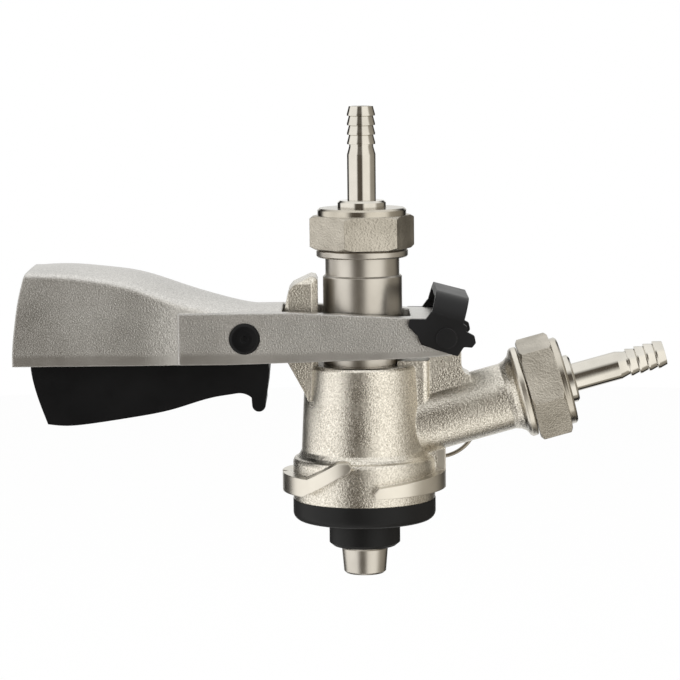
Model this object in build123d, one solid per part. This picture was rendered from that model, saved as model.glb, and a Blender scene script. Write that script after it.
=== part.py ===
"""Keg coupler of the lug-lock kind: a cast body that twists into a keg's neck, a probe that a
ring-shaped lever lifts and lowers, a squeeze trigger under the lever's grip, two hose unions.

Frame: millimetres, +Z up along the probe's axis. The origin is on that axis, in the plane of the
casting's underside. The grip points to -X and the gas inlet to +X.
The lever is drawn as when a keg is tapped, low and latched with the probe pushed out. Lifting the
grip draws the probe in.
"""

import os
from math import cos, radians, sin, sqrt, tan

from build123d import *

# ---- clearances and fits
RUNNING = 0.05  # radial gap of a pin in its hole
LOOSE = 0.4  # gap between pieces that move past each other
SLIP = 0.15  # gap of a piece dropped into its seat

# ---- body casting
FOOT_R = 21.2
FOOT_TOP = 12.7
SHOULDER_H = 2.0
BARREL_FOOT_R = 18.6
BARREL_TOP_R = 17.4
BARREL_TOP = 40.5
CAVITY_R = 14.0
CAVITY_TOP = 24.0
GUIDE_GAP = 0.2  # radial gap of the probe in the body's guide bore
LUG_R = 24.4

# ---- body seal, pressed up into the underside of the casting
SEAL_R = 21.3
SEAL_DEPTH = 6.4
SEAL_SPIGOT_R = 16.0
SEAL_SPIGOT_H = 4.0
SEAL_ROUND = 2.5
SEAL_BORE_R = 11.3

# ---- probe
SHAFT_R = 11.75
SHAFT_FOOT = 22.8
NECK_R = SHAFT_R - 0.75  # the slimmer part under the union
COLLAR_R = 13.6
COLLAR_H = 2.2
TUBE_R = 7.4
TIP_Z = -22.8
TIP_H = 8.0
TIP_R = 6.3
BEER_BORE_R = 4.4
BALL_R = 5.2
BALL_ROOM_R = 6.8
ORING_WIRE_R = 0.85
ORING_Z = (25.2, 27.8)
SLOT_FLOOR_Y = SHAFT_R - 2.4  # half distance between the flats that the lever's bosses run against

# ---- probe seal
PROBE_SEAL_R = 10.6
PROBE_SEAL_FOOT = -14.4
PROBE_SEAL_H = 11.4
PROBE_SEAL_GROOVE = 1.2

# ---- lever
HINGE_X = 24.2
HINGE_Z = BARREL_TOP + 9.1
HINGE_PIN_R = 2.5
ARM_INNER_Y = SHAFT_R + 1.0
ARM_OUTER_Y = ARM_INNER_Y + 4.25
ARM_END_R = 5.4
ARM_START_X = -54.0
LEVER_FOOT_Z = HINGE_Z - 7.4
ARM_TOP_Z = HINGE_Z + 7.6
WEB_ARC_R = 48.7  # radius of the end web's inner face about the hinge
WEB_T = 3.2
HEEL_ARC_R = 5.3  # radius of the other web's face about the hinge
HEEL_X = SHAFT_R + 2.25
SHELL_WALL = 2.8
BOSS_R = 5.5
BOSS_Z = HINGE_Z + 0.2
BOSS_PLAY = 0.5

# ---- probe, above the lever
NECK_FOOT = HINGE_Z + 17.3
COLLAR_Z = HINGE_Z + 22.6
BALL_SEAT_Z = HINGE_Z + 10.4

# ---- latch ear
EAR_INNER_X = -SHAFT_R - 1.55
EAR_ARC_R = WEB_ARC_R - 0.8  # radius of the ear's outer face about the hinge
EAR_TOP_Z = HINGE_Z + 17.4
EAR_HALF_Y = 8.5
EAR_BEVEL = 1.4

# ---- hinge lug and its cheek block
CHEEK_X = (10.0, 19.5)
CHEEK_HALF_Y = 8.3
CHEEK_TOP_Z = BARREL_TOP + 1.3
KNUCKLE_R = 4.7
KNUCKLE_HALF_Y = 6.4
KNUCKLE_END_X = 29.0

# ---- trigger
PIVOT_X = -34.7
PIVOT_Z = HINGE_Z + 0.2
TRIGGER_HALF_Y = 11.5
TRIGGER_WALL = 2.4
TRIGGER_PIN_R = 2.0
PIN_HEAD_R = 4.55
PIN_HEAD_H = 1.3
HORN_X = -30.9
HORN_Z = HINGE_Z - 20.0
HORN_R = 2.0
HOOK_GAP = 0.3
HOOK_HALF_Y = 3.5

# ---- gas inlet
INLET_Z = 18.5
INLET_RISE_DEG = 15.0
INLET_R = 10.0
INLET_FACE = 50.5
INLET_FLANGE_R = 13.6
INLET_FLANGE_H = 2.2
INLET_FLARE_H = 4.0
GAS_BORE_R = 6.5
GAS_PORT_R = 2.2

# ---- hose union, the same on both ports, measured out from the face of the port's flange
SPIGOT_R = 11.3
SPIGOT_H = 5.8
GASKET_H = 1.0
NUT_FLATS = 27.3
NUT_FOOT = 0.3
NUT_HEX_TOP = 10.1
NUT_TOP = 12.3
NUT_COLLAR_R = 13.2
NUT_LIP_FOOT = 9.4
NUT_CHAMFER = 1.3
TAIL_FLANGE_R = SPIGOT_R - 1.7
TAIL_FLANGE_TOP = 9.3
TAIL_COLLAR_R = 7.2
TAIL_COLLAR_TOP = 14.5
TAIL_R = 4.25
TAIL_END = 42.3
TAIL_BORE_R = 2.9
BARB_CREST_R = 4.2
BARB_ROOT_R = 3.6
BARB_COUNT = 4
BARB_PITCH = 2.8
NUT_TURN_DEG = 10.0

# ---- relief valve
RELIEF_TURN_DEG = 47.4
RELIEF_Z = 32.1
RELIEF_BOSS_R = 5.4
RELIEF_BOSS_END = 22.0
RELIEF_BORE_R = 3.6
RELIEF_SEAT = 16.8
BUSH_FLATS = 8.6
BUSH_END = 25.0
BUSH_SPIGOT_H = 1.2
STEM_R = 1.2
EYE_AT = 34.0
EYE_R = 2.3
EYE_HOLE_R = 1.05
RING_R = 12.0
RING_WIRE_R = 0.6
DISC_T = 1.0
WASHER_T = 0.8

# ---- hinge clip
CLIP_T = 2.2
CLIP_GAP = 0.25
STRAP_TILT_DEG = 15.0
STRAP_WIDTH = 9.8
STRAP_TOP = 12.5
STRAP_SHIFT = -1.2  # of the strap's middle from the hinge, along the clip
STRAP_T = 2.0
CLIP_OUTLINE = (  # from the hinge
    (-10.7, 5.7), (-6.0, 5.6), (-4.3, 7.9), (3.6, 5.3), (6.2, 3.1), (5.5, 2.0), (8.1, 0.6),
    (8.5, -1.4), (7.4, -2.8), (5.0, -2.6), (3.2, -5.3), (-2.3, -3.6), (-7.5, -1.7), (-8.5, 0.8),
    (-11.2, 3.6),
)

INLET_DIR = Vector(cos(radians(INLET_RISE_DEG)), 0, sin(radians(INLET_RISE_DEG)))
INLET = Plane(origin=(0, 0, INLET_Z), x_dir=(0, 1, 0), z_dir=INLET_DIR)
BEER_PORT = Location((0, 0, COLLAR_Z + COLLAR_H))
GAS_PORT = INLET.offset(INLET_FACE).location
RELIEF_DIR = Vector(cos(radians(RELIEF_TURN_DEG)), sin(radians(RELIEF_TURN_DEG)), 0)
RELIEF = Plane(origin=(0, 0, RELIEF_Z), x_dir=(0, 0, 1), z_dir=RELIEF_DIR)
GUIDE_R = SHAFT_R + GUIDE_GAP


def rod(radius, low, high):
    """A round bar along Z."""
    return Pos(0, 0, low) * Cylinder(radius, high - low, align=(Align.CENTER, Align.CENTER, Align.MIN))


def tube(outer, inner, low, high):
    return rod(outer, low, high) - rod(inner, low, high)


def turned(*profile):
    """A solid of revolution about Z from (radius, height) corners."""
    points = [(r, 0, z) for r, z in profile]
    return revolve(make_face(Polyline(*points, close=True)), Axis.Z)


def bar(x, y, z):
    """A box from (low, high) pairs."""
    size = [high - low for low, high in (x, y, z)]
    return Pos(x[0], y[0], z[0]) * Box(*size, align=(Align.MIN, Align.MIN, Align.MIN))


def cross_bar(radius, x, z, low, high):
    """A round bar along Y."""
    return Pos(x, low, z) * Rot(X=-90) * rod(radius, 0, high - low)


def side_plate(corners, half_width):
    """An outline of (x, z) corners, made thick equally to both sides."""
    points = [(x, 0, z) for x, z in corners]
    return plate(Polyline(*points, close=True), half_width)


def plate(outline, half_width):
    return extrude(make_face(outline), half_width, dir=(0, 1, 0), both=True)


def arc_points(radius, low_z, high_z, count=7):
    """Corners of an arc about the hinge, on its grip side, from a low to a high Z."""
    heights = [low_z + (high_z - low_z) * n / (count - 1) for n in range(count)]
    return [(HINGE_X - sqrt(radius**2 - (z - HINGE_Z) ** 2), z) for z in heights]


# ---------------------------------------------------------------- body


def lugs():
    """Two bayonet lugs opposite each other, each level at one end and ramping up at the other."""
    ramp = side_plate(
        ((-30, 2.7), (-18.6, 2.7), (-4.6, 11.0), (-3.8, 12.4), (-4.8, 13.6), (-8.0, 13.5),
         (-17.0, 8.2), (-30, 8.2)), 30)
    run_in = side_plate(((3.0, 3.0), (30, 3.4), (30, 8.6), (24.4, 8.4), (4.0, 6.2), (2.6, 4.6)), 30)
    front = (ramp + run_in) & bar((-30, 30), (-30, 0), (0, 16))
    ring = tube(LUG_R, FOOT_R - 5, 0, 16)
    pair = front + Rot(Z=180) * front
    return pair & ring


def barrel():
    return turned(
        (0, 0), (FOOT_R, 0), (FOOT_R, FOOT_TOP - 1.4), (FOOT_R - 0.4, FOOT_TOP - 0.4),
        (FOOT_R - 1.2, FOOT_TOP), (BARREL_FOOT_R + 0.7, FOOT_TOP + SHOULDER_H * 0.35),
        (BARREL_FOOT_R, FOOT_TOP + SHOULDER_H), (BARREL_TOP_R, BARREL_TOP - 1.0),
        (BARREL_TOP_R - 0.4, BARREL_TOP - 0.3), (BARREL_TOP_R - 1.1, BARREL_TOP), (0, BARREL_TOP),
    )


def latch_ear():
    """The horn that rises through the lever's ring and faces the latch hook."""
    face = arc_points(EAR_ARC_R, BARREL_TOP + 3, EAR_TOP_Z - 4)
    top = [(face[-1][0] + 1.3, EAR_TOP_Z - 2.5), (EAR_INNER_X - 2, EAR_TOP_Z),
           (EAR_INNER_X - 0.6, EAR_TOP_Z - 0.3), (EAR_INNER_X, EAR_TOP_Z - 1.4)]
    foot = BARREL_TOP - 7.5
    root = [(EAR_INNER_X, foot - 3), (-BARREL_FOOT_R + 2.2, foot - 3), (-BARREL_TOP_R - 0.3, foot),
            (face[0][0] + 1.1, BARREL_TOP + 0.9)]
    ear = side_plate([*face, *top, *root], EAR_HALF_Y)
    # the bevels all round its two faces: seen from above, then seen from the end
    low_x, slim = HINGE_X - EAR_ARC_R - 0.1, EAR_HALF_Y - EAR_BEVEL
    plan = ((low_x, slim), (low_x + 1.9, EAR_HALF_Y), (EAR_INNER_X - 1.8, EAR_HALF_Y), (EAR_INNER_X, slim))
    end = ((slim, EAR_TOP_Z), (EAR_HALF_Y, EAR_TOP_Z - 2.2), (EAR_HALF_Y, 20))
    above = make_face(Polyline(*plan, *[(x, -y) for x, y in reversed(plan)], close=True))
    from_end = make_face(Polyline(*[(0, y, z) for y, z in end], *[(0, -y, z) for y, z in reversed(end)],
                                  close=True))
    return ear & extrude(above, 80) & extrude(from_end, 40, dir=(-1, 0, 0))


def hinge_lug():
    """The cheek block beside the barrel, and the knuckle that rises from it to the hinge."""
    block = bar(CHEEK_X, (-CHEEK_HALF_Y, CHEEK_HALF_Y), (26, CHEEK_TOP_Z))
    block = fillet(block.edges().filter_by(Axis.Z).group_by(Axis.X)[-1], 2.0)
    knuckle = side_plate(
        ((CHEEK_X[1] - 2, 24), (KNUCKLE_END_X + 3, 30), (KNUCKLE_END_X + 2.6, 37.0),
         (KNUCKLE_END_X + 1.0, HINGE_Z - 11.8), (KNUCKLE_END_X + 0.2, HINGE_Z - 10.4),
         (KNUCKLE_END_X, HINGE_Z - 9), (HINGE_X + KNUCKLE_R, HINGE_Z), (HINGE_X - KNUCKLE_R, HINGE_Z),
         (HINGE_X - KNUCKLE_R, CHEEK_TOP_Z), (CHEEK_X[1] - 2, CHEEK_TOP_Z - 2)), KNUCKLE_HALF_Y)
    return block + knuckle + cross_bar(KNUCKLE_R, HINGE_X, HINGE_Z, -KNUCKLE_HALF_Y, KNUCKLE_HALF_Y)


def inlet_neck():
    """The gas inlet's neck, flared to its flange, with the spigot that takes the union nut."""
    flange_foot = INLET_FACE - INLET_FLANGE_H
    flare_foot = flange_foot - INLET_FLARE_H
    neck = turned(
        (0, 6), (INLET_R, 6), (INLET_R, flare_foot), (INLET_R + 0.5, flare_foot + 1.6),
        (INLET_R + 1.5, flare_foot + 3.0), (INLET_FLANGE_R - 0.5, flange_foot - 0.2),
        (INLET_FLANGE_R, flange_foot + 0.4), (INLET_FLANGE_R, INLET_FACE - 0.4),
        (INLET_FLANGE_R - 0.4, INLET_FACE), (SPIGOT_R, INLET_FACE),
        (SPIGOT_R, INLET_FACE + SPIGOT_H), (0, INLET_FACE + SPIGOT_H),
    )
    return INLET.location * neck


def body_casting():
    solid = barrel() + lugs() + latch_ear() + hinge_lug() + inlet_neck()
    solid += RELIEF.location * rod(RELIEF_BOSS_R, 8, RELIEF_BOSS_END)
    solid += bar((15, LUG_R), (-2.5, 2.5), (7, 16.5)) & tube(LUG_R, 10, 0, 30)
    # the bore: the seal's seat, the gas cavity and the probe's guide
    solid -= rod(SEAL_SPIGOT_R, -1, SEAL_SPIGOT_H) + rod(CAVITY_R, 0, CAVITY_TOP)
    solid -= rod(GUIDE_R, 0, EAR_TOP_Z + 1)
    # the gas way
    mouth = INLET_FACE + SPIGOT_H
    solid -= INLET.location * (rod(GAS_PORT_R, 12, mouth) + rod(GAS_BORE_R, 24, mouth + 1))
    # the relief valve's port and room
    solid -= RELIEF.location * rod(RELIEF_BORE_R, RELIEF_SEAT, 60)
    start = RELIEF_DIR * (CAVITY_R - 0.8) + Vector(0, 0, CAVITY_TOP - 1.6)
    end = RELIEF_DIR * (RELIEF_SEAT + 0.6) + Vector(0, 0, RELIEF_Z - 1.2)
    way = end - start
    solid -= Plane(origin=start, z_dir=way).location * rod(0.8, 0, way.length)
    solid -= cross_bar(HINGE_PIN_R + RUNNING, HINGE_X, HINGE_Z, -30, 30)
    return solid


def body_seal():
    lower = tube(SEAL_R, SEAL_BORE_R, -SEAL_DEPTH, 0)
    rims = lower.edges().filter_by(GeomType.CIRCLE).group_by(Axis.Z)[0]
    outer = fillet(rims.sort_by(SortBy.RADIUS)[-1], SEAL_ROUND)
    return outer + tube(SEAL_SPIGOT_R, SEAL_BORE_R, 0, SEAL_SPIGOT_H)


# ---------------------------------------------------------------- hose unions


def union_nut():
    """A hexagon union nut with a turned collar and a lip that clamps the tailpiece's flange."""
    corner_r = NUT_FLATS / 2 / cos(radians(30))
    edge_h = NUT_CHAMFER * tan(radians(30))
    hexagon = Pos(0, 0, NUT_FOOT) * extrude(
        RegularPolygon(NUT_FLATS / 2, 6, major_radius=False, rotation=NUT_TURN_DEG),
        NUT_HEX_TOP - NUT_FOOT)
    hexagon &= turned(
        (0, NUT_FOOT), (corner_r - NUT_CHAMFER, NUT_FOOT), (corner_r, NUT_FOOT + edge_h),
        (corner_r, NUT_HEX_TOP - edge_h), (corner_r - NUT_CHAMFER, NUT_HEX_TOP), (0, NUT_HEX_TOP),
    )
    collar = turned(
        (0, NUT_HEX_TOP), (NUT_COLLAR_R, NUT_HEX_TOP), (NUT_COLLAR_R, NUT_TOP - 0.6),
        (NUT_COLLAR_R - 0.6, NUT_TOP), (0, NUT_TOP),
    )
    room = rod(SPIGOT_R + RUNNING, -1, NUT_LIP_FOOT) + rod(TAIL_COLLAR_R + SLIP, 0, 20)
    return hexagon + collar - room


def union_gasket():
    return tube(TAIL_FLANGE_R, GAS_BORE_R, SPIGOT_H, SPIGOT_H + GASKET_H)


def tailpiece():
    """The hose tail: a flange under the nut's lip, a collar, and a plain stem ending in barbs."""
    foot = SPIGOT_H + GASKET_H
    barb_foot = TAIL_END - BARB_COUNT * BARB_PITCH
    barbs = []
    for n in range(BARB_COUNT):
        low = barb_foot + n * BARB_PITCH
        barbs += [(BARB_CREST_R, low), (BARB_CREST_R, low + 0.5), (BARB_ROOT_R, low + BARB_PITCH)]
    return turned(
        (TAIL_BORE_R, foot), (TAIL_FLANGE_R, foot), (TAIL_FLANGE_R, TAIL_FLANGE_TOP),
        (TAIL_COLLAR_R, TAIL_FLANGE_TOP), (TAIL_COLLAR_R, TAIL_COLLAR_TOP - 0.6),
        (TAIL_COLLAR_R - 0.6, TAIL_COLLAR_TOP), (TAIL_R, TAIL_COLLAR_TOP),
        (TAIL_R, barb_foot - 3.0), (BARB_ROOT_R, barb_foot - 0.6), (BARB_ROOT_R, barb_foot),
        *barbs, (TAIL_BORE_R, TAIL_END),
    )


def gas_check_valve():
    """A rubber duckbill held in the mouth of the inlet."""
    top = INLET_FACE + SPIGOT_H
    cup = turned(
        (3.0, top), (GAS_BORE_R, top), (GAS_BORE_R, top - 3), (5.0, top - 3), (3.6, top - 10),
        (0, top - 10), (0, top - 9), (2.2, top - 8.4),
    )
    slit = bar((-2.4, 2.4), (-0.2, 0.2), (top - 11, top - 8))
    return INLET.location * (cup - slit)


# ---------------------------------------------------------------- probe


def probe():
    top = COLLAR_Z + COLLAR_H + SPIGOT_H
    outer = turned(
        (0, TIP_Z), (TIP_R - 0.6, TIP_Z), (TIP_R, TIP_Z + 0.6), (TUBE_R - 0.5, TIP_Z + TIP_H - 0.5),
        (TUBE_R, TIP_Z + TIP_H), (TUBE_R, SHAFT_FOOT - 4.0), (SHAFT_R - 0.6, SHAFT_FOOT),
        (SHAFT_R, SHAFT_FOOT + 0.6), (SHAFT_R, NECK_FOOT - 0.5), (SHAFT_R - 0.5, NECK_FOOT),
        (NECK_R, NECK_FOOT), (NECK_R, COLLAR_Z), (COLLAR_R - 0.4, COLLAR_Z),
        (COLLAR_R, COLLAR_Z + 0.4), (COLLAR_R, COLLAR_Z + COLLAR_H - 0.4),
        (COLLAR_R - 0.4, COLLAR_Z + COLLAR_H), (SPIGOT_R, COLLAR_Z + COLLAR_H), (SPIGOT_R, top),
        (0, top),
    )
    seat_h = BALL_ROOM_R - BEER_BORE_R
    way = turned(
        (0, TIP_Z - 1), (BEER_BORE_R, TIP_Z - 1), (BEER_BORE_R, BALL_SEAT_Z),
        (BALL_ROOM_R, BALL_SEAT_Z + seat_h), (BALL_ROOM_R, top + 1), (0, top + 1),
    )
    solid = outer - way
    for z in ORING_Z:
        solid -= tube(SHAFT_R + 1, GUIDE_R - 2 * ORING_WIRE_R, z - 1.0, z + 1.0)
    slot = (BOSS_Z - BOSS_R - BOSS_PLAY, BOSS_Z + BOSS_R + BOSS_PLAY)
    solid -= bar((-SHAFT_R, SHAFT_R), (-SHAFT_R - 1, -SLOT_FLOOR_Y), slot)
    solid -= bar((-SHAFT_R, SHAFT_R), (SLOT_FLOOR_Y, SHAFT_R + 1), slot)
    top_groove = PROBE_SEAL_FOOT + PROBE_SEAL_H - 2
    solid -= tube(TUBE_R + 1, TUBE_R - PROBE_SEAL_GROOVE, top_groove - 3, top_groove)
    return solid


def probe_oring(z):
    centre = GUIDE_R - ORING_WIRE_R
    wire = Pos(centre, 0, z) * (Plane.XZ * RegularPolygon(ORING_WIRE_R - 0.02, 8))
    return revolve(wire, Axis.Z)


def probe_seal():
    top = PROBE_SEAL_FOOT + PROBE_SEAL_H
    return turned(
        (TUBE_R, PROBE_SEAL_FOOT), (PROBE_SEAL_R - 1.2, PROBE_SEAL_FOOT),
        (PROBE_SEAL_R, PROBE_SEAL_FOOT + 1.0), (PROBE_SEAL_R, top - 4.5), (PROBE_SEAL_R - 1.8, top),
        (TUBE_R, top), (TUBE_R, top - 2), (TUBE_R - PROBE_SEAL_GROOVE, top - 2),
        (TUBE_R - PROBE_SEAL_GROOVE, top - 5), (TUBE_R, top - 5),
    )


def check_ball():
    """The ball, resting on its 45-degree seat."""
    centre = BALL_SEAT_Z - BEER_BORE_R + BALL_R * sqrt(2)
    return Pos(0, 0, centre + 0.05) * Sphere(BALL_R)


def ball_cage():
    """A push-in ring with a cross bar that keeps the ball below the hose tail."""
    top = COLLAR_Z + COLLAR_H + SPIGOT_H
    ring = tube(BALL_ROOM_R, BALL_ROOM_R - 1.2, top - 4, top)
    return ring + bar((0.4 - BALL_ROOM_R, BALL_ROOM_R - 0.4), (-0.9, 0.9), (top - 4, top - 2.5))


# ---------------------------------------------------------------- lever

GRIP_END = (  # the grip's end from the side, from below upwards: x, height above the hinge
    (-102.1, -13.4), (-102.5, -1.8), (-101.8, 4.5), (-100.7, 11.5), (-99.2, 17.6), (-98.2, 20.0),
    (-96.4, 21.3),
)
GRIP_SECTIONS = (  # x, side's top edge above the hinge, crown above that, narrowing, corner radius
    (-106.0, 20.0, 0.4, 0.0, 1.6), (-98.0, 19.9, 0.7, 0.0, 1.6), (-91.0, 19.6, 1.6, 0.0, 1.8),
    (-82.0, 18.7, 2.3, 0.0, 2.0), (-75.0, 17.5, 2.8, 0.0, 2.0), (-68.0, 15.9, 3.5, 0.0, 2.2),
    (-60.0, 13.0, 4.3, 0.1, 2.4), (-52.0, 10.1, 4.4, 0.8, 2.4), (-44.0, 8.3, 3.7, 2.0, 2.0),
    (-37.0, 7.3, 2.8, 3.4, 1.6), (-30.0, 7.0, 2.0, 4.6, 1.2), (-22.0, 6.9, 1.9, 5.2, 1.0),
)


def grip_section(x, edge_z, crown, half_width, corner, foot_z):
    """One cross-section of the grip: upright sides and a crowned top with rounded corners."""
    at = Plane(origin=(x, 0, 0), x_dir=(0, 1, 0), z_dir=(1, 0, 0))
    shape = make_face(
        Polyline((half_width, edge_z), (half_width, foot_z), (-half_width, foot_z),
                 (-half_width, edge_z))
        + ThreePointArc((-half_width, edge_z), (0, edge_z + crown), (half_width, edge_z))
    )
    return at * fillet(shape.vertices().group_by(Axis.Y)[-1], corner)


def grip_loft(inset, foot_z):
    return loft([
        grip_section(x, HINGE_Z + edge - inset, crown, ARM_OUTER_Y - slim - inset, corner, foot_z)
        for x, edge, crown, slim, corner in GRIP_SECTIONS
    ])


def grip_side(inset):
    """The grip's outline from the side: a steep end that rounds over, and the arc of its web."""
    high = HINGE_Z + 25.4
    web = [(x, 0, z) for x, z in arc_points(WEB_ARC_R + inset, LEVER_FOOT_Z - 9, high)]
    end = [(x + inset, 0, HINGE_Z + z - inset) for x, z in GRIP_END]
    outline = Spline(*end) + Polyline(end[-1], (end[-1][0], 0, high), *reversed(web), end[0])
    return plate(outline, 30)


def lever_arms():
    """The ring of the lever: two side arms that taper to the hinge, joined by a web before it."""
    outline = (
        Polyline((HINGE_X, 0, HINGE_Z + ARM_END_R), (11, 0, ARM_TOP_Z - 1.7), (-1, 0, ARM_TOP_Z - 1.0),
                 (-20, 0, ARM_TOP_Z), (ARM_START_X, 0, ARM_TOP_Z), (ARM_START_X, 0, LEVER_FOOT_Z),
                 (-40, 0, LEVER_FOOT_Z), (0, 0, LEVER_FOOT_Z + 0.9), (18, 0, LEVER_FOOT_Z + 1.5),
                 (HINGE_X, 0, HINGE_Z - ARM_END_R))
        + ThreePointArc((HINGE_X, 0, HINGE_Z - ARM_END_R), (HINGE_X + ARM_END_R, 0, HINGE_Z),
                        (HINGE_X, 0, HINGE_Z + ARM_END_R))
    )
    slab = plate(outline, ARM_OUTER_Y)
    low, high = HINGE_Z - 19.6, HINGE_Z + 25.4
    ring = side_plate([*arc_points(WEB_ARC_R, low, high), (HEEL_X, high), (HEEL_X, low)], ARM_INNER_Y)
    ring = fillet(ring.edges().filter_by(Axis.Z).group_by(Axis.X)[-1], 3.5)
    fork = bar((HINGE_X, 60), (-ARM_INNER_Y, ARM_INNER_Y), (low, high))
    fork += bar((HINGE_X - KNUCKLE_R - LOOSE, 60), (-ARM_INNER_Y, ARM_INNER_Y), (low, HINGE_Z - 2))
    fork += cross_bar(HEEL_ARC_R, HINGE_X, HINGE_Z, -ARM_INNER_Y, ARM_INNER_Y)
    return slab - ring - fork


def trigger_room():
    """The room for the trigger's head, between the arms and under their top."""
    roof = ARM_TOP_Z - SHELL_WALL
    web = arc_points(WEB_ARC_R + WEB_T, LEVER_FOOT_Z - 12, roof)
    corners = [(ARM_START_X - 8, roof), (ARM_START_X - 8, LEVER_FOOT_Z - 12), *web]
    return side_plate(corners, ARM_OUTER_Y - SHELL_WALL)


def lever():
    solid = lever_arms() + (grip_loft(0, LEVER_FOOT_Z) & grip_side(0))
    solid -= grip_loft(SHELL_WALL, LEVER_FOOT_Z - 5) & grip_side(SHELL_WALL)
    solid -= trigger_room()
    for side in (-1, 1):
        ends = sorted((side * (SLOT_FLOOR_Y + 0.25), side * (ARM_INNER_Y + 1)))
        solid += cross_bar(BOSS_R, 0, BOSS_Z, *ends)
        ends = sorted((side * (KNUCKLE_HALF_Y + LOOSE), side * (ARM_INNER_Y + 1)))
        solid += cross_bar(KNUCKLE_R, HINGE_X, HINGE_Z, *ends)
    # a window through the web for the latch hook, and the two pin holes
    solid -= bar((-32, -22), (-HOOK_HALF_Y - 1, HOOK_HALF_Y + 1), (LEVER_FOOT_Z - 5, HINGE_Z + 0.9))
    solid -= cross_bar(HINGE_PIN_R + RUNNING, HINGE_X, HINGE_Z, -30, 30)
    solid -= cross_bar(TRIGGER_PIN_R + RUNNING, PIVOT_X, PIVOT_Z, -30, 30)
    return solid


def hinge_pin():
    return cross_bar(HINGE_PIN_R, HINGE_X, HINGE_Z, -ARM_OUTER_Y, ARM_OUTER_Y)


def hinge_clip():
    """The moulded clip over the hinge: a lobed cheek on each arm, joined by an arched strap."""
    inner_y = ARM_OUTER_Y + CLIP_GAP
    outer_y = inner_y + CLIP_T
    cheeks = side_plate([(HINGE_X + x, HINGE_Z + z) for x, z in CLIP_OUTLINE], outer_y)
    cheeks = fillet(cheeks.edges().filter_by(Axis.Y), 0.6)
    cheeks -= bar((0, 50), (-inner_y, inner_y), (30, 90))
    reach = (STRAP_SHIFT - STRAP_WIDTH / 2, STRAP_SHIFT + STRAP_WIDTH / 2)
    strap = bar(reach, (-outer_y, outer_y), (2, STRAP_TOP))
    strap = fillet(strap.edges().filter_by(Axis.X).group_by(Axis.Z)[-1], 7)
    under = bar((-STRAP_WIDTH, STRAP_WIDTH), (-inner_y, inner_y), (-9, STRAP_TOP - STRAP_T))
    under = fillet(under.edges().filter_by(Axis.X).group_by(Axis.Z)[-1], 5)
    arch = Pos(HINGE_X, 0, HINGE_Z) * Rot(Y=STRAP_TILT_DEG) * (strap - under)
    bumps = cross_bar(3.0, HINGE_X, HINGE_Z, -outer_y - 0.8, outer_y + 0.8)
    bumps -= bar((0, 50), (-inner_y, inner_y), (30, 90))
    return cheeks + arch + bumps


def trigger_pin():
    return cross_bar(TRIGGER_PIN_R, PIVOT_X, PIVOT_Z, -ARM_OUTER_Y, ARM_OUTER_Y)


def pin_cap(side):
    """A round domed head on one end of the trigger's pin, dimpled in the middle."""
    head = turned(
        (0, 0), (PIN_HEAD_R, 0), (PIN_HEAD_R, 0.5), (PIN_HEAD_R - 0.8, PIN_HEAD_H - 0.2),
        (2.2, PIN_HEAD_H), (1.1, PIN_HEAD_H), (0.7, PIN_HEAD_H - 0.5), (0, PIN_HEAD_H - 0.5),
    )
    return Pos(PIVOT_X, side * ARM_OUTER_Y, PIVOT_Z) * Rot(X=-90 * side) * head


# ---------------------------------------------------------------- trigger


# the trigger's outline, from the horn over the head to the tip and back: x, height above the hinge
TRIGGER_HEAD = (
    (-28.9, -19.0), (-28.2, -14.8), (-27.7, -9.6), (-28.6, -3.0), (-31.0, 3.6), (-38.6, 3.6),
    (-43.4, -2.3), (-98.0, -2.3), (-97.8, -8.9),
)
TRIGGER_TIP = ((-96.8, -14.1), (-95.0, -19.9), (-93.1, -25.1))
TRIGGER_BLADE = (
    (-88.1, -25.6), (-81.7, -25.2), (-68.9, -23.4), (-56.1, -21.0), (-43.3, -17.4), (-38.6, -16.7),
    (-35.0, -16.7), (-33.3, -17.6),
)
TRIGGER_ROOM = (
    (-95.2, 10.4), (-95.2, -8.6), (-91.2, -22.0), (-82, -22.4), (-68, -20.4), (-54, -17.2),
    (-45, -14.4), (-45, 10.4),
)
HEAD_ROOM = ((-42.0, 10.4), (-42.0, -10.6), (-30.6, -10.6), (-30.6, 10.4))


def trigger():
    """The squeeze trigger: a deep hollow-backed blade with a ball-ended horn below its pivot."""
    right = HORN_X + HORN_R
    head = [(x, 0, HINGE_Z + z) for x, z in TRIGGER_HEAD]
    tip = [(x, 0, HINGE_Z + z) for x, z in TRIGGER_TIP]
    blade = [(x, 0, HINGE_Z + z) for x, z in TRIGGER_BLADE]
    outline = (
        Polyline((right, 0, HORN_Z), *head)
        + Spline(head[-1], *tip)
        + Spline(tip[-1], *blade, (HORN_X - HORN_R, 0, HORN_Z), tangents=((1, 0, -0.15), (0.1, 0, -1)))
        + ThreePointArc((HORN_X - HORN_R, 0, HORN_Z), (HORN_X, 0, HORN_Z - HORN_R), (right, 0, HORN_Z))
    )
    solid = plate(outline, TRIGGER_HALF_Y)
    inner_y = TRIGGER_HALF_Y - TRIGGER_WALL
    room = side_plate([(x, HINGE_Z + z) for x, z in TRIGGER_ROOM], inner_y)
    room += side_plate([(x, HINGE_Z + z) for x, z in HEAD_ROOM], inner_y)
    room += bar((-33, -20), (-HOOK_HALF_Y - 0.3, HOOK_HALF_Y + 0.3), (HINGE_Z - 7.6, HINGE_Z + 10))
    solid -= room
    solid -= cross_bar(TRIGGER_PIN_R + RUNNING, PIVOT_X, PIVOT_Z, -30, 30)
    return solid


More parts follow.
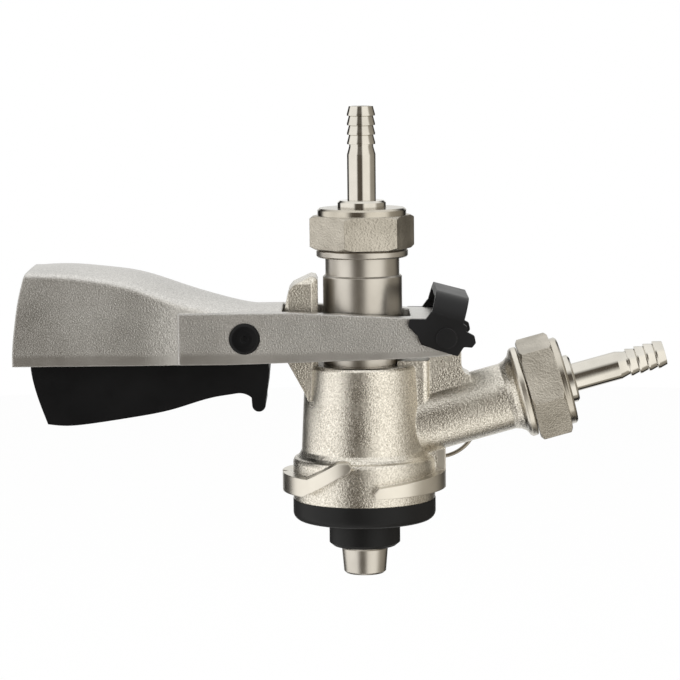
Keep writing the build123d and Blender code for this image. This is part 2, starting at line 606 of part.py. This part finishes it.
def latch_hook():
    """The steel hook on the trigger's pin that bears on the ear."""
    nose = arc_points(EAR_ARC_R + HOOK_GAP, HINGE_Z - 5, HINGE_Z - 3, 2)
    floor = HINGE_Z + HEAD_ROOM[1][1] + 0.02
    arm = side_plate((nose[0], nose[1], (-28, HINGE_Z - 1), (PIVOT_X, PIVOT_Z + 3.3),
                      (PIVOT_X - 3.3, PIVOT_Z), (PIVOT_X - 3.0, floor + 3), (PIVOT_X - 0.5, floor),
                      (-31.4, floor), (-30.9, HINGE_Z - 6.4)), HOOK_HALF_Y)
    return arm - cross_bar(TRIGGER_PIN_R + RUNNING, PIVOT_X, PIVOT_Z, -30, 30)


def trigger_spring():
    """The torsion spring on the trigger's pin."""
    wire = 0.4
    coil_r = TRIGGER_PIN_R + wire + 0.3
    path = Helix(1.0, 4.0, coil_r)
    coil = sweep(Plane(origin=path @ 0, z_dir=path % 0) * RegularPolygon(wire, 6), path, is_frenet=True)
    return Pos(PIVOT_X, HOOK_HALF_Y + 4.6, PIVOT_Z) * Rot(X=90) * coil


# ---------------------------------------------------------------- relief valve


def relief_bush():
    """The hexagon bush pressed in the boss, which guides the relief stem."""
    head = Pos(0, 0, RELIEF_BOSS_END) * extrude(
        RegularPolygon(BUSH_FLATS / 2, 6, major_radius=False), BUSH_END - RELIEF_BOSS_END)
    body = rod(RELIEF_BORE_R, RELIEF_BOSS_END - BUSH_SPIGOT_H, RELIEF_BOSS_END)
    return RELIEF.location * (head + body - rod(STEM_R + RUNNING, 0, 60))


def relief_stem():
    """Disc, shank and ball end; the ball is drilled across for the ring."""
    foot = RELIEF_SEAT + WASHER_T
    shank = rod(STEM_R, foot, EYE_AT - EYE_R + 0.4)
    solid = RELIEF.location * (rod(3.0, foot, foot + DISC_T) + shank + Pos(0, 0, EYE_AT) * Sphere(EYE_R))
    eye = RELIEF_DIR * EYE_AT + Vector(0, 0, RELIEF_Z)
    return solid - Pos(*eye) * Rot(Y=90) * Cylinder(EYE_HOLE_R, 12)


def relief_washer():
    return RELIEF.location * rod(3.0, RELIEF_SEAT, RELIEF_SEAT + WASHER_T)


def relief_spring():
    wire = 0.3
    low = RELIEF_SEAT + WASHER_T + DISC_T + wire + 0.03
    high = RELIEF_BOSS_END - BUSH_SPIGOT_H - wire - 0.03
    path = Helix((high - low) / 2, high - low, 2.3)
    coil = sweep(Plane(origin=path @ 0, z_dir=path % 0) * RegularPolygon(wire, 6), path, is_frenet=True)
    return RELIEF.location * Pos(0, 0, low) * coil


def pull_ring():
    """The wire ring, hanging from the stem's drilled ball."""
    eye = RELIEF_DIR * EYE_AT + Vector(0, 0, RELIEF_Z)
    return Pos(eye.X, eye.Y, eye.Z - RING_R) * Rot(X=90) * Torus(RING_R, RING_WIRE_R)


# ---------------------------------------------------------------- write the pieces


def main():
    os.makedirs("parts", exist_ok=True)
    pieces = {
        "body_casting": body_casting(),
        "body_seal": body_seal(),
        "gas_nut": GAS_PORT * union_nut(),
        "gas_gasket": GAS_PORT * union_gasket(),
        "gas_tailpiece": GAS_PORT * tailpiece(),
        "gas_check_valve": gas_check_valve(),
        "relief_bush": relief_bush(),
        "relief_stem": relief_stem(),
        "relief_washer": relief_washer(),
        "relief_spring": relief_spring(),
        "pull_ring": pull_ring(),
        "probe": probe(),
        "probe_seal": probe_seal(),
        "lower_oring": probe_oring(ORING_Z[0]),
        "upper_oring": probe_oring(ORING_Z[1]),
        "check_ball": check_ball(),
        "ball_cage": ball_cage(),
        "beer_nut": BEER_PORT * union_nut(),
        "beer_gasket": BEER_PORT * union_gasket(),
        "beer_tailpiece": BEER_PORT * tailpiece(),
        "lever": lever(),
        "hinge_pin": hinge_pin(),
        "hinge_clip": hinge_clip(),
        "trigger_pin": trigger_pin(),
        "near_pin_cap": pin_cap(-1),
        "far_pin_cap": pin_cap(1),
        "trigger": trigger(),
        "latch_hook": latch_hook(),
        "trigger_spring": trigger_spring(),
    }
    for name, piece in pieces.items():
        export_step(piece, f"parts/{name}.step")
        print(name, round(piece.volume, 1), len(piece.solids()))


main()
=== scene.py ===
# %% [markdown]
# # A keg coupler
#
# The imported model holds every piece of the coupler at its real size. This script gives each
# piece its finish, then sets up a plain studio: a white backdrop, soft lights and a camera that
# looks along +Y from a little above. The shapes are right already, so nearly all of the work
# here is in the materials and in what the metal has to reflect.

# %% Load the frame
import math

import bpy
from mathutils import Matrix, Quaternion, Vector


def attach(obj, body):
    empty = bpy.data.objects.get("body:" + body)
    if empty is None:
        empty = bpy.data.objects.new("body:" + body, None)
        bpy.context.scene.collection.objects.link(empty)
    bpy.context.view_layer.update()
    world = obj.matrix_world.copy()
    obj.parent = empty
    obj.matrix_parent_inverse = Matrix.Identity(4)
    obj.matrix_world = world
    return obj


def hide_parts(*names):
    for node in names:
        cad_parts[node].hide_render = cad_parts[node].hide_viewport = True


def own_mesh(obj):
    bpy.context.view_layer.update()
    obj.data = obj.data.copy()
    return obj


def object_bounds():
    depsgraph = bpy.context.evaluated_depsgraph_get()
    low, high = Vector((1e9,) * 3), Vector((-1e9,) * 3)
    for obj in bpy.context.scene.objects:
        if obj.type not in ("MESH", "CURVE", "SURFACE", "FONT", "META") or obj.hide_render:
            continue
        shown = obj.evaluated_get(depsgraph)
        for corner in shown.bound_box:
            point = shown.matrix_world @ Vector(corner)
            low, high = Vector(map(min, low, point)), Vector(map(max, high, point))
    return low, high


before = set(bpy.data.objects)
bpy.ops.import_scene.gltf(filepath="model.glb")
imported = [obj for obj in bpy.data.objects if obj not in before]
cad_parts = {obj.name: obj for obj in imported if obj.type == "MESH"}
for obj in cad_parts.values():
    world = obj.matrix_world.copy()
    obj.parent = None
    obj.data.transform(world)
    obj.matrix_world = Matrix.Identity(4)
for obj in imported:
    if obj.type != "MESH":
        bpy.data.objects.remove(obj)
cad_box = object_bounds()
MM = 0.001
print("CAD box", cad_box)

# %% [markdown]
# Colours are written as sRGB hex values, because that is how a swatch is read. Shaders work in
# linear light, so one function converts them. A second small function adds a node, sets its
# values and links its inputs, which keeps each material down to a few readable lines.

# %% Colour and node helpers
def linear(hex_code):
    """An sRGB hex colour as linear RGBA."""
    channels = [int(hex_code[i:i + 2], 16) / 255 for i in (1, 3, 5)]
    light = [c / 12.92 if c <= 0.04045 else ((c + 0.055) / 1.055) ** 2.4 for c in channels]
    return light + [1.0]


def add(tree, kind, links=None, stops=(), **settings):
    """Adds a node. Settings name its properties, and links its inputs, with a value or a socket.

    Stops are the (position, hex colour) pairs of a colour ramp.
    """
    node = tree.nodes.new(kind)
    for name, value in settings.items():
        setattr(node, name, value)
    for index, (position, code) in enumerate(stops):
        elements = node.color_ramp.elements
        element = elements[index] if index < 2 else elements.new(position)
        element.position = position
        element.color = linear(code)
    for name, value in (links or {}).items():
        if isinstance(value, bpy.types.NodeSocket):
            tree.links.new(value, node.inputs[name])
        else:
            node.inputs[name].default_value = value
    return node


def new_material(name, **shader_values):
    """A material with a Principled shader whose sockets start at the values given."""
    material = bpy.data.materials.new(name)
    material.use_nodes = True
    shader = material.node_tree.nodes["Principled BSDF"]
    for socket, value in shader_values.items():
        shader.inputs[socket.replace("_", " ")].default_value = value
    return material, material.node_tree, shader


print("helpers ready; mid grey is", round(linear("#808080")[0], 3), "in linear light")

# %% [markdown]
# ## Sizes on a surface
#
# A noise texture takes a scale, in features per metre, where a maker thinks of a grain's width.
# One function turns the one into the other. Noise is read in object coordinates, which move with
# the piece, so the grain stays where it is when the lever lifts.
#
# Small edges on castings and forgings are never sharp: they catch a line of light. They could be
# bevelled in the mesh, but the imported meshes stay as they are, so the shading rounds them. It
# also carries the grain, which would take millions of faces to model.

# %% Grain, edges and sheen
EDGE_SAMPLES = 6  # rays that look for an edge near each point
HAZE_LOW, HAZE_HIGH = 0.3, 0.7  # nearly all of a noise lies between these


def per_metre(feature_mm):
    """The scale of a noise whose features are about this wide."""
    return 0.5 / (feature_mm * MM)


def relief(tree, shader, height, depth_mm, edge_mm):
    """Bumps the surface by a height, over edges that are rounded by a small radius."""
    edges = add(tree, "ShaderNodeBevel", {"Radius": edge_mm * MM}, samples=EDGE_SAMPLES)
    bump = add(tree, "ShaderNodeBump", {
        "Height": height, "Distance": depth_mm * MM, "Normal": edges.outputs["Normal"]})
    tree.links.new(bump.outputs["Normal"], shader.inputs["Normal"])


def uneven_sheen(tree, haze, shiniest, dullest):
    """A roughness that drifts with a haze, from the shiniest patches to the dullest."""
    return add(tree, "ShaderNodeMapRange", {
        "Value": haze, "From Min": HAZE_LOW, "From Max": HAZE_HIGH,
        "To Min": shiniest, "To Max": dullest}).outputs["Result"]


print("a grain of 0.25 mm has scale", per_metre(0.25))

# %% [markdown]
# ## The turning lines
#
# Much of the coupler was made on a lathe, round one of two straight lines: the upright line of
# the probe, and the rising line of the gas inlet. Finishes follow the lathe, so two values are
# useful in a shader: how far a point is from such a line, and how far along it. The cross
# product with the line's direction gives the first, and the dot product gives the second.

# %% The two turning lines
INLET_HEIGHT_MM = 18.5
INLET_RISE = math.radians(15)
UPRIGHT = ((0, 0, 0), (0, 0, 1))
INLET = ((0, 0, INLET_HEIGHT_MM * MM), (math.cos(INLET_RISE), 0, math.sin(INLET_RISE)))


def from_line(tree, position, line):
    """The distance of a point from a line, and its distance along it."""
    start, direction = line
    offset = add(tree, "ShaderNodeVectorMath", {0: position, 1: start}, operation="SUBTRACT")
    across = add(tree, "ShaderNodeVectorMath", {0: offset.outputs[0], 1: direction},
                 operation="CROSS_PRODUCT")
    radius = add(tree, "ShaderNodeVectorMath", {0: across.outputs[0]}, operation="LENGTH")
    along = add(tree, "ShaderNodeVectorMath", {0: offset.outputs[0], 1: direction},
                operation="DOT_PRODUCT")
    return radius.outputs["Value"], along.outputs["Value"]


print("the gas inlet rises", round(math.degrees(INLET_RISE)), "degrees")

# %% [markdown]
# ## Where a casting has no grain
#
# A tool has cut the body after casting, on the locking lugs and on the inlet's flange. The
# lever's lower edge, where the two halves of its mould met, was dressed. Separate materials
# could show this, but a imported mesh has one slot, and the dressed band fades out along an
# uneven line. So each place is a mask, 1 where the grain is gone.

# %% Masks for cut and dressed metal
LUG_INNER_MM, LUG_TOP_MM = 22.0, 14.5
FLANGE_INNER_MM, FLANGE_FOOT_MM = 12.9, 48.0
BAND_TOP_MM = 45.6
BAND_FADE_MM = 1.0
BAND_WANDER_MM = 1.6
BAND_WAVE_MM = 6
BAND_COVER = 0.85  # the dressing leaves a trace of the grain


def cut_zone(tree, position, line, beyond_mm, side, end_mm):
    """1 farther than a radius from a line, on one side of a place along it, and 0 elsewhere."""
    radius, along = from_line(tree, position, line)
    outside = add(tree, "ShaderNodeMath", {0: radius, 1: beyond_mm * MM},
                  operation="GREATER_THAN")
    past_end = add(tree, "ShaderNodeMath", {0: along, 1: end_mm * MM}, operation=side)
    return add(tree, "ShaderNodeMath", {0: outside.outputs[0], 1: past_end.outputs[0]},
               operation="MULTIPLY").outputs[0]


def machined_mask(tree, position):
    """1 on the lugs' outer faces and on the inlet's flange, and 0 elsewhere."""
    lugs = cut_zone(tree, position, UPRIGHT, LUG_INNER_MM, "LESS_THAN", LUG_TOP_MM)
    flange = cut_zone(tree, position, INLET, FLANGE_INNER_MM, "GREATER_THAN", FLANGE_FOOT_MM)
    return add(tree, "ShaderNodeMath", {0: lugs, 1: flange}, operation="MAXIMUM").outputs[0]


def parting_band(tree, position):
    """Near 1 along the lever's lower edge, fading to 0 above it along an uneven line."""
    up = add(tree, "ShaderNodeSeparateXYZ", {"Vector": position}).outputs["Z"]
    wave = add(tree, "ShaderNodeTexNoise", {
        "Vector": position, "Scale": per_metre(BAND_WAVE_MM), "Detail": 2.0})
    height = add(tree, "ShaderNodeMath", {0: wave.outputs["Fac"], 1: BAND_WANDER_MM * MM, 2: up},
                 operation="MULTIPLY_ADD")
    return add(tree, "ShaderNodeMapRange", {
        "Value": height.outputs[0], "From Min": BAND_TOP_MM * MM,
        "From Max": (BAND_TOP_MM + BAND_FADE_MM) * MM,
        "To Min": BAND_COVER, "To Max": 0.0}).outputs["Result"]


print("the dressed band ends", BAND_TOP_MM, "mm above the frame's origin")

# %% [markdown]
# ## Plated sand castings
#
# The body and the lever are cast in sand moulds, blasted and plated. Each grain of the mould
# leaves a small facet, so the surface is a rough one covered with a bright metal: to the eye it
# sparkles instead of shining. The body's plate is a slightly warm nickel, and the lever's is
# greyer and duller.
#
# A fine noise drives the bump and most of the colour, and a coarse one varies tone and sheen.
# Moulding sand is about 0.15 to 0.25 mm. The grain here is drawn at the top of that range,
# because a finer one is lost at the distance the coupler is seen from.

# %% Sand-cast metals
NO_GRAIN = 0.52  # the height of a surface without grain, close to the noise's middle
TONE_MM = 9
TONE_SHARE = 0.2  # of the colour, and the grain has the rest


def cast_metal(name, shades, roughness, grit_mm, grit_depth_mm, edge_mm, smooth, polish):
    """A cast, plated metal: a grainy bump under a bright coat, with slow changes of tone.

    smooth gives a mask, from a place on the object, of where a tool or a die left no grain, and
    polish is how much less rough that place is.
    """
    material, tree, shader = new_material(name, Metallic=1.0)
    position = add(tree, "ShaderNodeTexCoord").outputs["Object"]
    grit = add(tree, "ShaderNodeTexNoise", {
        "Vector": position, "Scale": per_metre(grit_mm), "Detail": 2.5, "Roughness": 0.6})
    tone = add(tree, "ShaderNodeTexNoise", {
        "Vector": position, "Scale": per_metre(TONE_MM), "Detail": 4.0, "Roughness": 0.6})
    tone = tone.outputs["Fac"]
    bare = smooth(tree, position)
    grain = add(tree, "ShaderNodeMix", {0: bare, 2: grit.outputs["Fac"], 3: NO_GRAIN},
                data_type="FLOAT").outputs[0]
    mixed = add(tree, "ShaderNodeMix", {0: TONE_SHARE, 2: grain, 3: tone}, data_type="FLOAT")
    colour = add(tree, "ShaderNodeValToRGB", {"Fac": mixed.outputs[0]}, stops=shades)
    tree.links.new(colour.outputs["Color"], shader.inputs["Base Color"])
    sheen = uneven_sheen(tree, tone, roughness - 0.04, roughness + 0.06)
    polished = add(tree, "ShaderNodeMath", {0: bare, 1: -polish, 2: sheen},
                   operation="MULTIPLY_ADD")
    tree.links.new(polished.outputs[0], shader.inputs["Roughness"])
    relief(tree, shader, grain, grit_depth_mm, edge_mm)
    return material


sand_cast_nickel = cast_metal(
    "sand_cast_nickel", ((0.31, "#A39D92"), (0.68, "#EDE8DE")), roughness=0.26,
    grit_mm=0.25, grit_depth_mm=0.13, edge_mm=0.5, smooth=machined_mask, polish=-0.04)
sand_cast_lever = cast_metal(
    "sand_cast_lever", ((0.29, "#A6A4A1"), (0.71, "#DCDAD7")), roughness=0.35,
    grit_mm=0.23, grit_depth_mm=0.10, edge_mm=0.8, smooth=parting_band, polish=0.04)
print("cast metals:", sand_cast_nickel.name, sand_cast_lever.name)

# %% [markdown]
# ## Turned and plated metal
#
# The probe and the hose tails come off a lathe. A cutting tool leaves rings round the work, too
# fine to count but enough to spread a reflection along the part. A stretched noise could stand
# in for them on one straight piece. Here noise reads only the radius and the distance along the
# line, so the rings also run right round every step and shoulder. Tool marks are really a few
# hundredths of a millimetre apart, and are drawn coarser, at 0.18 mm, so that they show at all.
#
# The tails are polished and nearly mirror-bright. The probe is duller. The nuts are forged:
# their collars are turned, and their flats keep a blasted grain that looks soft and satin.
# Blasting leaves dents of about a tenth of a millimetre, and they too are drawn coarser, at
# 0.3 mm, for the same reason.

# %% Turned metals
TOOL_MARK_MM = 0.18
CLOUD_MM = 5
NUT_COLLAR_MM = 13.35
NUT_GRAIN_MM = 0.30
NUT_GRAIN_DEPTH_MM = 0.17
MARKS_UNDER_GRAIN = 0.1  # how much of the tool marks' height is left beside the blasted grain
BLASTED_DULLING = 0.2


def turned_metal(name, line, shades, roughness, mark_depth_mm, edge_mm, blasted_beyond=None):
    """A lathe finish round a line; beyond a given radius it gives way to a blasted grain."""
    material, tree, shader = new_material(name, Metallic=1.0)
    position = add(tree, "ShaderNodeTexCoord").outputs["Object"]
    radius, along = from_line(tree, position, line)
    lathe = add(tree, "ShaderNodeCombineXYZ", {"X": radius, "Z": along}).outputs[0]
    marks = add(tree, "ShaderNodeTexNoise", {
        "Vector": lathe, "Scale": per_metre(TOOL_MARK_MM), "Detail": 2.0}).outputs["Fac"]
    cloud = add(tree, "ShaderNodeTexNoise", {
        "Vector": position, "Scale": per_metre(CLOUD_MM), "Detail": 3.0}).outputs["Fac"]
    colour = add(tree, "ShaderNodeValToRGB", {"Fac": cloud}, stops=shades)
    tree.links.new(colour.outputs["Color"], shader.inputs["Base Color"])
    sheen = uneven_sheen(tree, cloud, roughness - 0.02, roughness + 0.05)
    if blasted_beyond:
        grain = add(tree, "ShaderNodeTexNoise", {
            "Vector": position, "Scale": per_metre(NUT_GRAIN_MM), "Detail": 2.0})
        blasted = add(tree, "ShaderNodeMath", {0: radius, 1: blasted_beyond * MM},
                      operation="GREATER_THAN").outputs[0]
        sheen = add(tree, "ShaderNodeMath", {0: blasted, 1: BLASTED_DULLING, 2: sheen},
                    operation="MULTIPLY_ADD").outputs[0]
        faint = add(tree, "ShaderNodeMath", {0: marks, 1: MARKS_UNDER_GRAIN},
                    operation="MULTIPLY").outputs[0]
        marks = add(tree, "ShaderNodeMix", {0: blasted, 2: faint, 3: grain.outputs["Fac"]},
                    data_type="FLOAT").outputs[0]
    tree.links.new(sheen, shader.inputs["Roughness"])
    relief(tree, shader, marks, mark_depth_mm, edge_mm)
    return material


PROBE_SHADES = ((0.3, "#B0ABA3"), (0.7, "#C4BFB7"))
PLATED = ((0.3, "#BAB6AE"), (0.7, "#CFCBC3"))
BLASTED = ((0.3, "#A39D92"), (0.7, "#C6C0B5"))
SPRING_SHADES = ((0.3, "#857E72"), (0.7, "#A39C90"))
probe_steel = turned_metal(
    "turned_probe_steel", UPRIGHT, PROBE_SHADES, 0.31, mark_depth_mm=0.010, edge_mm=0.2)
beer_tail_plate = turned_metal(
    "turned_beer_tail", UPRIGHT, PLATED, 0.10, mark_depth_mm=0.003, edge_mm=0.12)
gas_tail_plate = turned_metal(
    "turned_gas_tail", INLET, PLATED, 0.10, mark_depth_mm=0.003, edge_mm=0.12)
beer_nut_plate = turned_metal(
    "beer_nut_plate", UPRIGHT, BLASTED, 0.20, NUT_GRAIN_DEPTH_MM, 0.4, NUT_COLLAR_MM)
gas_nut_plate = turned_metal(
    "gas_nut_plate", INLET, BLASTED, 0.20, NUT_GRAIN_DEPTH_MM, 0.4, NUT_COLLAR_MM)
spring_wire = turned_metal(
    "spring_wire", UPRIGHT, SPRING_SHADES, 0.26, mark_depth_mm=0.002, edge_mm=0.1)
print("turned metals:", probe_steel.name, beer_tail_plate.name, beer_nut_plate.name)

# %% [markdown]
# ## Rubber and moulded plastic
#
# The seals are nitrile rubber, matt and a little dusty. The trigger and the hinge clip are
# moulded nylon with a fine spark-eroded texture, which keeps a broad soft sheen. All of them are
# close to black, so the eye tells them apart by sheen: a haze varies it from place to place, and
# the shader's specular level sets how strong it is. The real textures are finer than a tenth of
# a millimetre. They are drawn at 0.3 to 0.5 mm, the size at which they start to show.

# %% Rubber and plastic
HAZE_MM = 8


def moulded(name, shades, roughness, grain_mm, depth_mm, edge_mm, gloss):
    """A black moulding: a fine texture, and a haze of handling that varies tone and sheen."""
    material, tree, shader = new_material(name, Specular_IOR_Level=gloss)
    position = add(tree, "ShaderNodeTexCoord").outputs["Object"]
    haze = add(tree, "ShaderNodeTexNoise", {
        "Vector": position, "Scale": per_metre(HAZE_MM), "Detail": 4.0, "Roughness": 0.6})
    haze = haze.outputs["Fac"]
    grain = add(tree, "ShaderNodeTexNoise", {
        "Vector": position, "Scale": per_metre(grain_mm), "Detail": 2.0})
    colour = add(tree, "ShaderNodeValToRGB", {"Fac": haze}, stops=shades)
    tree.links.new(colour.outputs["Color"], shader.inputs["Base Color"])
    tree.links.new(uneven_sheen(tree, haze, roughness - 0.05, roughness + 0.07),
                   shader.inputs["Roughness"])
    relief(tree, shader, grain.outputs["Fac"], depth_mm, edge_mm)
    return material


nitrile_rubber = moulded(
    "nitrile_rubber", ((0.35, "#101010"), (0.7, "#171717")), roughness=0.50,
    grain_mm=0.5, depth_mm=0.012, edge_mm=0.3, gloss=0.20)
trigger_nylon = moulded(
    "trigger_nylon", ((0.35, "#070708"), (0.7, "#0D0D0E")), roughness=0.42,
    grain_mm=0.3, depth_mm=0.010, edge_mm=0.5, gloss=0.15)
clip_nylon = moulded(
    "clip_nylon", ((0.35, "#0A0A0B"), (0.7, "#111113")), roughness=0.42,
    grain_mm=0.35, depth_mm=0.012, edge_mm=0.5, gloss=0.26)
print("mouldings:", nitrile_rubber.name, trigger_nylon.name, clip_nylon.name)

# %% [markdown]
# ## Dressing the pieces
#
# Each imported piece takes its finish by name. A table from finish to pieces reads like a parts
# list, and shows at once which pieces share a bath or a bar of stock.

# %% Assign the finishes
FINISHES = {
    sand_cast_nickel: ("body_casting",),
    sand_cast_lever: ("lever",),
    beer_nut_plate: ("beer_nut", "relief_bush"),
    gas_nut_plate: ("gas_nut",),
    probe_steel: ("probe", "hinge_pin", "trigger_pin", "latch_hook", "relief_stem", "check_ball"),
    beer_tail_plate: ("beer_tailpiece",),
    gas_tail_plate: ("gas_tailpiece",),
    spring_wire: ("pull_ring", "relief_spring", "trigger_spring"),
    nitrile_rubber: ("body_seal", "probe_seal", "lower_oring", "upper_oring", "beer_gasket",
                     "gas_gasket", "gas_check_valve", "relief_washer"),
    trigger_nylon: ("trigger", "near_pin_cap", "far_pin_cap", "ball_cage"),
    clip_nylon: ("hinge_clip",),
}
for finish, names in FINISHES.items():
    for name in names:
        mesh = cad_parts[name].data
        mesh.materials.clear()
        mesh.materials.append(finish)
print("finishes on", sum(len(names) for names in FINISHES.values()), "pieces")

# %% [markdown]
# ## The relief valve's spring
#
# Pulling the ring draws the valve's stem outwards, and its spring closes up between the stem's
# disc and the bush. A imported piece never changes shape, so a copy of the spring, with a mesh
# of its own, takes its place and is fixed to the coupler's frame.

# %% A copy of the spring
packed_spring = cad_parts["relief_spring"]
closing_spring = bpy.data.objects.new("closing_spring", packed_spring.data.copy())
bpy.context.collection.objects.link(closing_spring)
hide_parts("relief_spring")
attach(closing_spring, "coupler")
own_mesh(closing_spring)

# %% [markdown]
# ## Studio
#
# Polished metal shows what stands round it, so the room is laid out as a studio for shiny goods
# is: a white sheet behind, a wide soft box on the left, a narrower one on the right, and the
# dark of the room between them, where the camera stands. Two black cards just outside the view
# give every round part its thin dark outline.
#
# Real panels could stand round the coupler, but each would have to be hidden from the camera and
# would light the part too. So the room is a function of the compass direction only, which a
# colour ramp holds from behind, round by the left, the camera and the right, to behind again.
# Only mirror-like rays see it. Matt surfaces get an even fill, and the camera sees plain white.

# %% World
ROOM = (  # compass direction in degrees, 0 towards the camera and positive to its right, and shade
    (-180, "#D8D8D6"), (-163, "#D8D8D6"), (-158, "#1C1B1A"), (-128, "#2A2826"),
    (-116, "#FFFEFB"), (-40, "#FFFEFB"), (-30, "#5A544B"), (3, "#544E46"), (13, "#FFFDF7"),
    (64, "#FFFDF7"), (78, "#A29D93"), (122, "#8B867C"), (140, "#1C1B1A"), (158, "#1C1B1A"),
    (163, "#D8D8D6"), (180, "#D8D8D6"),
)
SOFT_BOX_LEVEL = 1.45  # the boxes are brighter than the backdrop, which is 1
FILL_LEVEL = 0.55
CEILING_FROM, CEILING_FULL = 0.45, 0.75  # how steeply a ray climbs, where walls become ceiling
WHITE = linear("#FFFFFF")
world = bpy.data.worlds.new("studio")
bpy.context.scene.world = world
world.use_nodes = True
sky = world.node_tree
sky.nodes.clear()
direction = add(sky, "ShaderNodeTexCoord").outputs["Generated"]
part = add(sky, "ShaderNodeSeparateXYZ", {"Vector": direction})
towards = add(sky, "ShaderNodeMath", {0: part.outputs["Y"], 1: -1.0}, operation="MULTIPLY")
compass = add(sky, "ShaderNodeMath", {0: part.outputs["X"], 1: towards.outputs[0]},
              operation="ARCTAN2")
turn = add(sky, "ShaderNodeMapRange", {
    "Value": compass.outputs[0], "From Min": -math.pi, "From Max": math.pi})
walls = add(sky, "ShaderNodeValToRGB", {"Fac": turn.outputs["Result"]},
            stops=[((angle + 180) / 360, shade) for angle, shade in ROOM])
climb = add(sky, "ShaderNodeMapRange", {
    "Value": part.outputs["Z"], "From Min": CEILING_FROM, "From Max": CEILING_FULL})
all_round = add(sky, "ShaderNodeMix", {
    0: climb.outputs["Result"], 6: walls.outputs["Color"], 7: linear("#F4F4F2")},
    data_type="RGBA")
room = add(sky, "ShaderNodeBackground", {
    "Color": all_round.outputs[2], "Strength": SOFT_BOX_LEVEL})
fill = add(sky, "ShaderNodeBackground", {"Color": WHITE, "Strength": FILL_LEVEL})
white = add(sky, "ShaderNodeBackground", {"Color": WHITE, "Strength": 1.0})
path = add(sky, "ShaderNodeLightPath").outputs
mirrored = add(sky, "ShaderNodeMath", {
    0: path["Is Glossy Ray"], 1: path["Is Transmission Ray"]}, operation="MAXIMUM")
lit = add(sky, "ShaderNodeMixShader", {
    0: mirrored.outputs[0], 1: fill.outputs[0], 2: room.outputs[0]})
seen = add(sky, "ShaderNodeMixShader", {
    0: path["Is Camera Ray"], 1: lit.outputs[0], 2: white.outputs[0]})
add(sky, "ShaderNodeOutputWorld", {"Surface": seen.outputs[0]})
print("room drawn with", len(ROOM), "shades")

# %% [markdown]
# The coupler is held up, as it is by a keg's neck, over a round white table. The table is there
# for its soft shadow. Reflections pass through it, so they show the same room below the part as
# beside it, and to the camera it glows like the backdrop.

# %% Table
TABLE_DROP_MM = 60
TABLE_RADIUS_MM = 900
TABLE_SIDES = 96
TABLE_GLOW = 0.95  # the rest of what the camera sees is lit, and so holds the shadow
low = Vector(cad_box[0])
high = Vector(cad_box[1])
centre = (low + high) / 2
bpy.ops.mesh.primitive_circle_add(
    vertices=TABLE_SIDES, radius=TABLE_RADIUS_MM * MM, fill_type="NGON",
    location=(0, 0, low.z - TABLE_DROP_MM * MM))
table = bpy.context.object
table.name = "table"
pale, tree, shader = new_material("pale_table", Roughness=0.9, Base_Color=linear("#F2F2F0"))
glow = add(tree, "ShaderNodeEmission", {"Color": WHITE, "Strength": 1.0})
ray = add(tree, "ShaderNodeLightPath")
share = add(tree, "ShaderNodeMath", {0: ray.outputs["Is Camera Ray"], 1: TABLE_GLOW},
            operation="MULTIPLY")
both = add(tree, "ShaderNodeMixShader", {
    0: share.outputs[0], 1: shader.outputs[0], 2: glow.outputs[0]})
tree.links.new(both.outputs[0], tree.nodes["Material Output"].inputs["Surface"])
table.data.materials.append(pale)
table.visible_glossy = False
print("table", TABLE_DROP_MM, "mm below the probe")

# %% [markdown]
# Two large soft boxes stand left and right of the camera, and a third hangs overhead. They are
# wide, so the shading they give is gentle. Metal doesn't show them, because the room above
# already holds the boxes that it reflects.

# %% Soft boxes
SOFT_BOXES = (  # name, place from the coupler's middle and size in metres, power in watts
    ("left_box", (-0.85, -0.55, 0.35), (0.6, 0.9), 5),
    ("right_box", (0.75, -0.65, 0.30), (0.4, 0.9), 3),
    ("top_box", (0.0, -0.1, 1.0), (0.9, 0.7), 6),
)
for name, place, size, power in SOFT_BOXES:
    data = bpy.data.lights.new(name, "AREA")
    data.shape = "RECTANGLE"
    data.size, data.size_y = size
    data.energy = power
    box = bpy.data.objects.new(name, data)
    bpy.context.collection.objects.link(box)
    box.location = centre + Vector(place)
    box.rotation_euler = (centre - box.location).to_track_quat("-Z", "Y").to_euler()
    box.visible_glossy = False
print(len(SOFT_BOXES), "soft boxes")

# %% [markdown]
# ## Camera
#
# A long lens keeps the perspective gentle. It stands 85 cm off, above the top of the dispense
# tail, and is aimed at the middle of the part.

# %% Camera
CAMERA_DISTANCE_MM = 850
CAMERA_HEIGHT_MM = 143
AIM_MM = Vector((-6.85, 0, 47.3))
VIEW_WIDTH_MM = 202.4
ROLL_DEG = -0.6
lens = bpy.data.cameras.new("camera")
camera = bpy.data.objects.new("camera", lens)
bpy.context.collection.objects.link(camera)
camera.location = Vector((AIM_MM.x, -CAMERA_DISTANCE_MM, CAMERA_HEIGHT_MM)) * MM
sight = AIM_MM * MM - camera.location
roll = Quaternion((0, 0, 1), math.radians(ROLL_DEG))
camera.rotation_mode = "QUATERNION"
camera.rotation_quaternion = sight.to_track_quat("-Z", "Y") @ roll
lens.sensor_width = 36
lens.lens = lens.sensor_width * sight.length / (VIEW_WIDTH_MM * MM)
lens.clip_start = 0.01
bpy.context.scene.camera = camera
bpy.context.scene.view_settings.view_transform = "Standard"
print("lens", round(lens.lens, 1), "mm")
